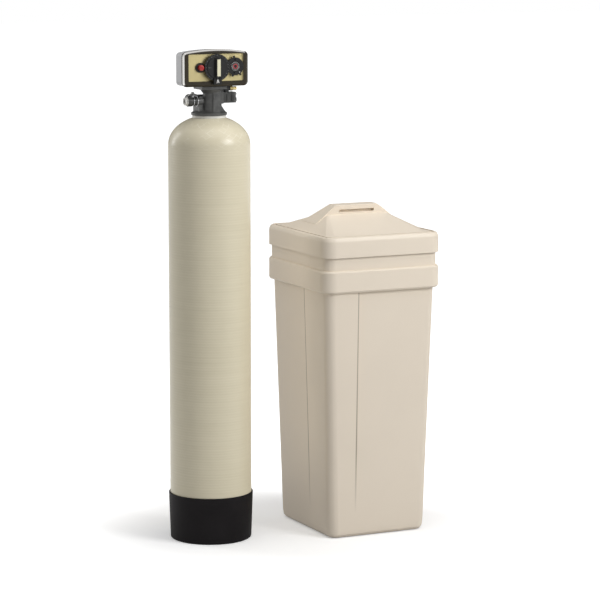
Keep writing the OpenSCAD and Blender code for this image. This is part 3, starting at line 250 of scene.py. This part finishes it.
def shell_finish():
    material, tree, shader, where = blank("wound_shell")
    stripe = noise(tree, stretch_by(tree, where, (4, 4, 150)), 1.0, 4.0)
    thread = noise(tree, stretch_by(tree, where, (30, 30, 1400)), 1.0, 2.0)
    patch = noise(tree, where, 4.0, 4.0)
    both = maths(tree, "MULTIPLY", maths(tree, "ADD", stripe, patch), 0.5)
    cream = ramp(tree, both, [(0.3, (0.72, 0.655, 0.48)), (0.5, (0.75, 0.685, 0.51)),
        (0.7, (0.78, 0.715, 0.54))])
    colour = mix(tree, crossed_fibres(tree, where), cream, FIBRE_COLOUR)
    cover(tree, shader, colour, spread(tree, stripe, 0.27, 0.38), thread, 0.1)
    return material


# Dark frame plastic, with metal silver on the outer bevel's left and top slopes only: a painted reflection, duller
# on the top slope
def bezel_finish_and_painted_reflection(face):
    material, tree, shader, where = blank("bezel_black_and_painted_silver_reflection")
    depth_axis = axes_of(tree, where)[1]
    turned = normal_of(tree)
    depth = remap(tree, depth_axis, face - BEVEL_FRONT, face + BEVEL_BACK)
    slope = ramp(tree, depth, [(0.02, grey(0)), (0.1, grey(0.5)), (0.24, grey(1))])
    wall = remap(tree, depth_axis, face + WALL_END, face + WALL_START)
    # Painted reflection: silver only where the bevel faces left or up
    side = remap(tree, dot(tree, turned, REFLECTION_SIDE), 0.02, 0.25)
    share = product(tree, [slope, wall, side])
    speck = noise(tree, where, 900.0, 2.0)
    dark = ramp(tree, speck, [(0.3, (0.034, 0.028, 0.019)), (0.7, (0.046, 0.038, 0.026))])
    # Painted reflection: duller silver where the bevel faces up
    top = remap(tree, axes_of(tree, turned)[2], 0.2, 0.6)
    side_silver_painted_reflection = ramp(tree, speck, [(0.3, (0.7, 0.69, 0.66)), (0.7, (0.76, 0.75, 0.72))])
    silver_painted_reflection = mix(tree, top, side_silver_painted_reflection, TOP_SILVER_PAINTED_REFLECTION)
    tree.links.new(mix(tree, share, dark, silver_painted_reflection), shader.inputs["Base Color"])
    tree.links.new(share, shader.inputs["Metallic"])
    tree.links.new(spread(tree, speck, 0.1, 0.2), shader.inputs["Roughness"])
    shader.inputs["Specular IOR Level"].default_value = 0.2
    return material


# Beige plastic multiplied by a painted shade
def beige_with_painted_shade(name, make_shade, low, high):
    material, tree, shader, where = blank(name)
    local = node(tree, "VectorMath", {0: where, 1: (low + high) / 2}, operation="SUBTRACT").outputs[0]
    shade = make_shade(tree, local, low, high)
    broad = mottled(tree, noise(tree, where, 3.0, 5.0), TANK_COLOUR, 0.02)
    fine = noise(tree, where, 420.0, 2.0)
    cover(tree, shader, mix(tree, 1.0, broad, shade, "MULTIPLY"), spread(tree, fine, 0.42, 0.56), fine, 0.12)
    return material


# Painted shade: a dark line down each of the tank's faces beside one corner post's step, fading out towards the
# bottom, where shade falls in the crease
def step_shade(tree, local, low, high):
    middle = (low.z + high.z) / 2
    axes = axes_of(tree, local)
    outer = maths(tree, "GREATER_THAN", dot(tree, local, normal_of(tree)), 0.0)
    reach = remap(tree, axes[2], STEP_FADE - middle, STEP_FULL - middle)
    below = maths(tree, "LESS_THAN", axes[2], BELT_LOW - middle)
    lines = []
    for across, along, place, face, width in (
            (0, 1, POST_FRONT, FRONT_FACE, FRONT_LINE), (1, 0, POST_SIDE, SIDE_FACE, SIDE_LINE)):
        turned = maths(tree, "MULTIPLY", axes[across], maths(tree, "SIGN", axes[along]))
        away = maths(tree, "ABSOLUTE", maths(tree, "SUBTRACT", turned, place))
        near = remap(tree, away, width, width * 0.4)
        on_face = maths(tree, "GREATER_THAN", maths(tree, "ABSOLUTE", axes[along]), face)
        lines.append(product(tree, [near, on_face]))
    share = product(tree, [maths(tree, "MAXIMUM", *lines), outer, reach, below])
    return ramp(tree, share, [(0.0, grey(1)), (1.0, STEP_SHADE_TONE)])


# Painted shade: the groove inside the lid's rim darkened, most along its left and right sides
def groove_shade(tree, local, low, high):
    middle = (low.z + high.z) / 2
    band_at = (high - low) / 2 - Vector((RIM_BAND, RIM_BAND, 0))
    axes = axes_of(tree, local)
    above = maths(tree, "GREATER_THAN", axes[2], LID_TOP - GROOVE_DEEP - middle)
    under = maths(tree, "LESS_THAN", axes[2], LID_TOP - GROOVE_SHALLOW - middle)
    shares = []
    for k, amount in ((0, 1.0), (1, 0.3)):
        size = maths(tree, "ABSOLUTE", axes[k])
        inner = maths(tree, "GREATER_THAN", size, band_at[k] - GROOVE_INNER)
        outer = maths(tree, "LESS_THAN", size, band_at[k] + GROOVE_OUTER)
        short = maths(tree, "LESS_THAN", maths(tree, "ABSOLUTE", axes[1 - k]), band_at[1 - k])
        shares.append(product(tree, [above, under, inner, outer, short, amount]))
    return ramp(tree, maths(tree, "MAXIMUM", *shares), [(0.0, grey(1)), (1.0, GROOVE_SHADE_TONE)])


LOOKS = {
    "boot_black": toned("boot_black", (0.0125, 0.011, 0.0118), 0.25, (0.5, 0.66), grain=900, bump=0.2,
        gloss=0.1),
    "white_plastic": toned("white_plastic", (0.78, 0.77, 0.73), 0.04, (0.35, 0.5)),
    "resin_beads": toned("resin_beads", (0.5, 0.27, 0.07), 0.3, (0.4, 0.6), grain=1500, bump=0.8),
    "valve_grey": toned("valve_grey", (0.08, 0.081, 0.078), 0.32, (0.32, 0.52), scale=60, grain=900,
        bump=0.2, gloss=0.45),
    "seal_rubber": toned("seal_rubber", (0.018, 0.018, 0.018), 0.2, (0.6, 0.8), grain=1200),
    "steel": toned("steel", (0.62, 0.62, 0.63), 0.06, (0.22, 0.36), stretch=(1, 1, 6), metal=1.0),
    "brass": toned("brass", (0.5, 0.4, 0.18), 0.16, (0.24, 0.4), scale=80, metal=1.0),
    "frame_black": toned("frame_black", (0.014, 0.014, 0.0142), 0.25, (0.3, 0.42), grain=1200, gloss=0.25),
    "gold_face": toned("gold_face", (0.5, 0.43, 0.22), 0.07, (0.3, 0.42), scale=18, grain=1400, bump=0.08,
        metal=0.75),
    "cover_grey": toned("cover_grey", (0.53, 0.53, 0.54), 0.05, (0.36, 0.5), grain=1100, bump=0.15),
    "button_red": toned("button_red", (0.39, 0.009, 0.007), 0.1, (0.2, 0.3), coat=0.2),
    "strip_cream": toned("strip_cream", (0.8, 0.76, 0.55), 0.05, (0.35, 0.5)),
    "tank_beige": toned("tank_beige", TANK_COLOUR, 0.02, (0.42, 0.56), scale=3.0, grain=420, bump=0.12),
    "cream_shell": shell_finish(),
}
# Painted shade: a darker copy of the valve grey
valve_grey_painted_shade = toned("valve_grey_painted_shade", (0.042, 0.043, 0.041), 0.32, (0.32, 0.52), scale=60, grain=900, bump=0.2,
    gloss=0.4)
ink_white = toned("ink_white", (0.8, 0.79, 0.76), 0.05, (0.4, 0.55))
ink_grey = toned("ink_grey", (0.2, 0.2, 0.19), 0.1, (0.4, 0.55))
ink_red = toned("ink_red", (0.45, 0.05, 0.06), 0.1, (0.4, 0.5))


# Edges of the solids, in millimetres
PLAIN_EDGE = 0.3
EDGES = {"brine_tank": 1.6, "brine_lid": 0.9, "tank_boot": 1.2, "front_bezel": 0.9, "cover_shell": 1.2,
    "valve_body": 0.8, "injector_body": 0.8, "injector_cap": 0.8, "regeneration_knob": 0.7,
    "pointer_tab": 0.7, "time_set_button": 0.8, "skipper_wheel": 0.5, "tank_liner": 0.6}


def soft_group():
    group = bpy.data.node_groups.new("soft_shading", "GeometryNodeTree")
    group.interface.new_socket("Geometry", in_out="INPUT", socket_type="NodeSocketGeometry")
    group.interface.new_socket("Geometry", in_out="OUTPUT", socket_type="NodeSocketGeometry")
    come = group.nodes.new("NodeGroupInput")
    go = group.nodes.new("NodeGroupOutput")
    bare = group.nodes.new("GeometryNodeRemoveAttribute")
    bare.inputs["Name"].default_value = "custom_normal"
    joined = group.nodes.new("GeometryNodeMergeByDistance")
    joined.inputs["Distance"].default_value = 0.000002
    smooth = group.nodes.new("GeometryNodeSetShadeSmooth")
    smooth.inputs["Shade Smooth"].default_value = True
    for a, b in ((come, bare), (bare, joined), (joined, smooth), (smooth, go)):
        group.links.new(a.outputs[0], b.inputs[0])
    return group


def dress(name, material, edge, soft):
    obj = nodes[name]
    obj.data.materials.clear()
    obj.data.materials.append(material)
    shading = obj.modifiers.new("shading", "NODES")
    shading.node_group = soft
    flat = obj.modifiers.new("flat", "DECIMATE")
    flat.decimate_type = "DISSOLVE"
    flat.angle_limit = math.radians(0.4)
    round_off = obj.modifiers.new("round_off", "BEVEL")
    round_off.limit_method = "ANGLE"
    round_off.angle_limit = math.radians(28)
    round_off.width = edge * MM
    round_off.segments = 2
    normals = obj.modifiers.new("normals", "WEIGHTED_NORMAL")
    normals.keep_sharp = False


def repaint(name, material):
    nodes[name].data.materials[0] = material


def dress_all():
    soft = soft_group()
    for name, slot in slot_of.items():
        dress(name, LOOKS[slot], EDGES.get(name, PLAIN_EDGE), soft)
    # Painted shade: the injector body and drain fitting take the darker copy of the valve grey
    for name in ("injector_body", "drain_fitting"):
        repaint(name, valve_grey_painted_shade)
    repaint("front_bezel", bezel_finish_and_painted_reflection(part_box("face_plate")[0].y))
    repaint("brine_tank", beige_with_painted_shade("tank_beige_body", step_shade, *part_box("brine_tank")))
    repaint("brine_lid", beige_with_painted_shade("tank_beige_lid", groove_shade, *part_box("brine_lid")))


dress_all()


# Mesh pieces
def piece(name, work, material, body):
    mesh = bpy.data.meshes.new(name)
    bmesh.ops.recalc_face_normals(work, faces=work.faces)
    work.to_mesh(mesh)
    work.free()
    mesh.materials.append(material)
    obj = bpy.data.objects.new(name, mesh)
    bpy.context.scene.collection.objects.link(obj)
    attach(obj, body)
    return obj


def skin(work, loops):
    for a, b in zip(loops, loops[1:]):
        for k in range(len(a)):
            m = (k + 1) % len(a)
            work.faces.new((a[k], a[m], b[m], b[k])).smooth = True


def prism(work, outline, y_back, thick):
    back = [work.verts.new((x, y_back, z)) for x, z in outline]
    front = [work.verts.new((x, y_back - thick, z)) for x, z in outline]
    work.faces.new(front)
    work.faces.new(back[::-1])
    for i in range(len(outline)):
        j = (i + 1) % len(outline)
        work.faces.new((back[i], back[j], front[j], front[i]))


def around(centre, radius, angle):
    return centre[0] + radius * math.cos(angle), centre[1] + radius * math.sin(angle)


def tick(work, centre, r0, r1, angle, width, y_back):
    side_x = -math.sin(angle) * width / 2
    side_z = math.cos(angle) * width / 2
    x0, z0 = around(centre, r0, angle)
    x1, z1 = around(centre, r1, angle)
    outline = [(x0 - side_x, z0 - side_z), (x1 - side_x, z1 - side_z), (x1 + side_x, z1 + side_z),
        (x0 + side_x, z0 + side_z)]
    prism(work, outline, y_back, MARK_THICK)


def band(work, centre, r0, r1, y_back, steps=48):
    y_front = y_back - MARK_THICK
    rows = []
    for i in range(steps):
        angle = FULL_TURN * i / steps
        x0, z0 = around(centre, r0, angle)
        x1, z1 = around(centre, r1, angle)
        corners = ((x0, y_back, z0), (x0, y_front, z0), (x1, y_front, z1), (x1, y_back, z1))
        rows.append([work.verts.new(corner) for corner in corners])
    for i in range(steps):
        a, b = rows[i], rows[(i + 1) % steps]
        for k in range(4):
            m = (k + 1) % 4
            work.faces.new((a[k], b[k], b[m], a[m]))


def figure(work, text, centre, size, turn, y_back):
    curve = bpy.data.curves.new("figure", "FONT")
    curve.body = text
    curve.size = size
    curve.align_x = "CENTER"
    curve.align_y = "CENTER"
    curve.extrude = MARK_THICK / 2
    holder = bpy.data.objects.new("figure", curve)
    bpy.context.scene.collection.objects.link(holder)
    bpy.context.view_layer.update()
    shown = holder.evaluated_get(bpy.context.evaluated_depsgraph_get())
    mesh = bpy.data.meshes.new_from_object(shown)
    place = Matrix.Translation((centre[0], y_back - MARK_THICK / 2, centre[1]))
    mesh.transform(place @ Matrix.Rotation(math.radians(90), 4, "X") @ Matrix.Rotation(turn, 4, "Z"))
    work.from_mesh(mesh)
    bpy.data.objects.remove(holder)
    bpy.data.curves.remove(curve)
    bpy.data.meshes.remove(mesh)


def front_y(name, place):
    return nodes[name].ray_cast((place[0], -2, place[1]), (0, 1, 0))[1].y


# Wound shell of the resin tank, with the ridges of its winding
def shell_rows(low_z, high_z, radius):
    belly = low_z + DOME_HEIGHT
    shoulder = high_z - DOME_HEIGHT * math.sqrt(1 - (NECK_RADIUS / radius) ** 2)
    foot_rows = 24
    rows_per_ridge = 6
    dome_rows = 48
    fading_rows = 16
    rows = []
    for i in range(foot_rows + 1):
        a = math.radians(-90 + 90 * i / foot_rows)
        rows.append((radius * math.cos(a), belly + DOME_HEIGHT * math.sin(a), 0.0))
    count = round((shoulder - belly) / WIND_PITCH * rows_per_ridge)
    for i in range(1, count):
        rows.append((radius, belly + (shoulder - belly) * i / count, 1.0))
    for i in range(dome_rows + 1):
        a = math.radians(90 * i / dome_rows)
        r = radius * math.cos(a)
        if r > NECK_RADIUS:
            rows.append((r, shoulder + DOME_HEIGHT * math.sin(a), max(0.0, 1 - i / fading_rows)))
    return rows


def make_wound_shell():
    low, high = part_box("tank_wrap")
    centre = (low + high) / 2
    steps = 96
    least = 0.0001
    work = bmesh.new()
    loops = []
    for r, z, share in shell_rows(low.z, high.z, (high.x - low.x) / 2):
        loop = []
        for k in range(steps):
            wave = 0.5 - 0.5 * math.cos(FULL_TURN * (z / WIND_PITCH + k / steps))
            out = max(least, r - WIND_RIDGE * share * wave)
            x, y = around((centre.x, centre.y), out, FULL_TURN * k / steps)
            loop.append(work.verts.new((x, y, z)))
        loops.append(loop)
    skin(work, loops)
    shell = piece("wound_shell", work, LOOKS["cream_shell"], "base")
    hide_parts("tank_wrap")


make_wound_shell()


# Marks on the head: the dial's hours, the knob's arrow, the wheel's ring and rays, the pointer's arrow
def make_dial_marks(dial):
    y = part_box("time_dial")[0].y
    hours = 24
    work = bmesh.new()
    for i in range(2 * hours):
        inner = 0.0362 if i % 2 else 0.0355
        tick(work, dial, inner, 0.0374, FULL_TURN * i / (2 * hours), 0.0003, y)
    for i in range(hours):
        a = math.pi / 2 - FULL_TURN * i / hours
        figure(work, str((i - 1) % 12 + 1), around(dial, 0.0336, a), 0.0035, a - math.pi / 2, y)
    piece("dial_marks", work, ink_grey, "dial")


def make_knob_marks(dial):
    x, z = around(dial, 0.0262, math.pi)
    y = front_y("regeneration_knob", (x, z))
    half = 0.0012
    work = bmesh.new()
    prism(work, [(x - 0.0018, z), (x + half, z - half), (x + half, z + half)], y, MARK_THICK)
    tick(work, dial, 0.0195, 0.0245, math.pi, 0.0005, y)
    piece("knob_marks", work, ink_grey, "knob")


def make_wheel_marks(wheel):
    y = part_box("skipper_wheel")[0].y
    rays = 18
    work = bmesh.new()
    band(work, wheel, 0.0046, 0.0072, y)
    piece("wheel_ring", work, ink_red, "skipper")
    work = bmesh.new()
    for i in range(rays):
        tick(work, wheel, 0.0088, 0.0128, FULL_TURN * i / rays, 0.0007, y)
    band(work, around(wheel, 0.0205, math.radians(-52)), 0.0002, 0.0014, y, 16)
    piece("wheel_marks", work, ink_white, "skipper")


def make_pointer_arrow():
    low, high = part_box("pointer_tab")
    x = (low.x + high.x) / 2
    foot = low.z + 0.0045
    crotch = foot + 0.006
    tip = foot + 0.0105
    outline = [(x - 0.0042, foot), (x - 0.002, foot), (x, crotch), (x + 0.002, foot), (x + 0.0042, foot),
        (x + 0.001, tip), (x - 0.001, tip)]
    work = bmesh.new()
    prism(work, outline, low.y, MARK_THICK)
    band(work, (x, foot + 0.0145), 0.0002, 0.0011, low.y, 16)
    piece("pointer_arrow", work, ink_white, "base")


def make_marks():
    dial = (joint_at["dial_turn"].x, joint_at["dial_turn"].z)
    wheel = (joint_at["skipper_turn"].x, joint_at["skipper_turn"].z)
    make_dial_marks(dial)
    make_knob_marks(dial)
    make_wheel_marks(wheel)
    make_pointer_arrow()


make_marks()


# Web of the valve between its deck and the injector
def make_web():
    left, knee, right = -0.243, -0.231, -0.2205
    top, low = 1.2932, 1.2842
    back, thick = -0.004, 0.008
    work = bmesh.new()
    prism(work, [(left, top), (right, top), (right, low), (knee, low)], back, thick)
    bmesh.ops.bevel(work, geom=list(work.edges), offset=0.0006, segments=2, affect="EDGES")
    piece("deck_web", work, LOOKS["valve_grey"], "base")


make_web()


# Spring of the brine valve, built at one fixed length
def make_spring():
    low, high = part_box("brine_valve_spring")
    centre = (low + high) / 2
    coil = 0.0045
    wire = (high.x - low.x) / 2 - coil
    length = high.z - low.z
    turns = 5
    count = turns * 32
    sides = 10
    work = bmesh.new()
    loops = []
    for i in range(count + 1):
        a = FULL_TURN * turns * i / count
        z = low.z + wire + (length - 2 * wire) * i / count
        loop = []
        for k in range(sides):
            b = FULL_TURN * k / sides
            x, y = around((centre.x, centre.y), coil + wire * math.cos(b), a)
            loop.append(work.verts.new((x, y, z + wire * math.sin(b))))
        loops.append(loop)
    skin(work, loops)
    work.faces.new(loops[0][::-1])
    work.faces.new(loops[-1])
    spring = piece("brine_spring", work, LOOKS["steel"], "base")
    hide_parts("brine_valve_spring")
    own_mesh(spring)


make_spring()


# Floor, light and camera
def floor_with_painted_shade():
    material, tree, shader, where = blank("floor_white_with_painted_shade")
    path = node(tree, "LightPath").outputs
    grain = noise(tree, where, 3.0)
    plain = ramp(tree, grain, [(0.3, grey(0.54)), (0.7, grey(0.56))])
    bright = ramp(tree, grain, [(0.3, grey(0.88)), (0.7, grey(0.9))])
    tone = mix(tree, path["Is Camera Ray"], plain, bright)
    tree.links.new(tone, shader.inputs["Base Color"])
    shader.inputs["Roughness"].default_value = 0.9
    shader.inputs["Specular IOR Level"].default_value = 0.0
    seen = maths(tree, "MAXIMUM", path["Is Camera Ray"], path["Is Glossy Ray"])
    # Painted shade: the floor glows less near the object, so it darkens in a soft pool around the object's foot,
    # and further away its shadows are washed out to white
    squeezed = node(tree, "VectorMath", {0: where, 1: (0.8, 1, 1)}, operation="MULTIPLY").outputs[0]
    away = node(tree, "VectorMath", {0: squeezed}, operation="LENGTH").outputs["Value"]
    painted_shade_falloff = remap(tree, away, 0.3, 0.75, 0.26, 0.9, interpolation_type="SMOOTHSTEP")
    share = maths(tree, "MULTIPLY", seen, painted_shade_falloff)
    glow = node(tree, "Emission", {"Color": (1, 1, 1, 1), "Strength": share}).outputs[0]
    both = node(tree, "AddShader", {0: shader.outputs[0], 1: glow}).outputs[0]
    tree.links.new(both, tree.nodes["Material Output"].inputs[0])
    return material


def make_floor():
    work = bmesh.new()
    bmesh.ops.create_grid(work, x_segments=2, y_segments=2, size=30)
    mesh = bpy.data.meshes.new("floor")
    work.to_mesh(mesh)
    work.free()
    mesh.materials.append(floor_with_painted_shade())
    floor = bpy.data.objects.new("floor", mesh)
    floor.location.z = cad_box[0].z
    bpy.context.scene.collection.objects.link(floor)


def make_world():
    world = bpy.data.worlds.new("studio")
    bpy.context.scene.world = world
    world.use_nodes = True
    tree = world.node_tree
    path = node(tree, "LightPath").outputs
    toward = axes_of(tree, node(tree, "TexCoord").outputs["Generated"])
    left = remap(tree, toward[0], 0.05, -0.45)
    mirrored = remap(tree, left, 0.0, 1.0, 0.07, 0.9)
    shiny = node(tree, "Mix", {0: path["Is Glossy Ray"], 2: 0.34, 3: mirrored}).outputs[0]
    strength = node(tree, "Mix", {0: path["Is Camera Ray"], 2: shiny, 3: 1.0}).outputs[0]
    ground = tree.nodes["Background"]
    ground.inputs[0].default_value = (1, 1, 1, 1)
    tree.links.new(strength, ground.inputs[1])


def lamp(name, place, aim, size, power):
    data = bpy.data.lights.new(name, "AREA")
    data.shape = "RECTANGLE"
    data.size, data.size_y = size
    data.energy = power
    obj = bpy.data.objects.new(name, data)
    obj.location = place
    obj.rotation_euler = (Vector(aim) - Vector(place)).to_track_quat("-Z", "Y").to_euler()
    bpy.context.scene.collection.objects.link(obj)


def make_camera():
    sensor = 36
    picture = 600
    focal = 2690.1
    tilt = 8.283
    turn = 25.587
    data = bpy.data.cameras.new("camera")
    data.sensor_width = sensor
    data.lens = focal / picture * sensor
    data.shift_y = -0.02
    data.clip_end = 100
    obj = bpy.data.objects.new("camera", data)
    obj.location = (-3.3027, -6.9467, 1.8291)
    obj.rotation_euler = (math.radians(90 - tilt), 0, -math.radians(turn))
    bpy.context.scene.collection.objects.link(obj)
    bpy.context.scene.camera = obj


make_floor()
make_world()
lamp("key", place=(1.8, -3.0, 2.6), aim=(0, 0, 0.75), size=(1.6, 1.6), power=80)
lamp("overhead", place=(0.1, -0.6, 3.2), aim=(0, 0, 0), size=(2.6, 2.0), power=24)
lamp("left_back", place=(-1.9, 2.2, 1.9), aim=(0, 0, 0.8), size=(0.9, 1.8), power=19)
make_camera()
bpy.context.scene.view_settings.view_transform = "Standard"
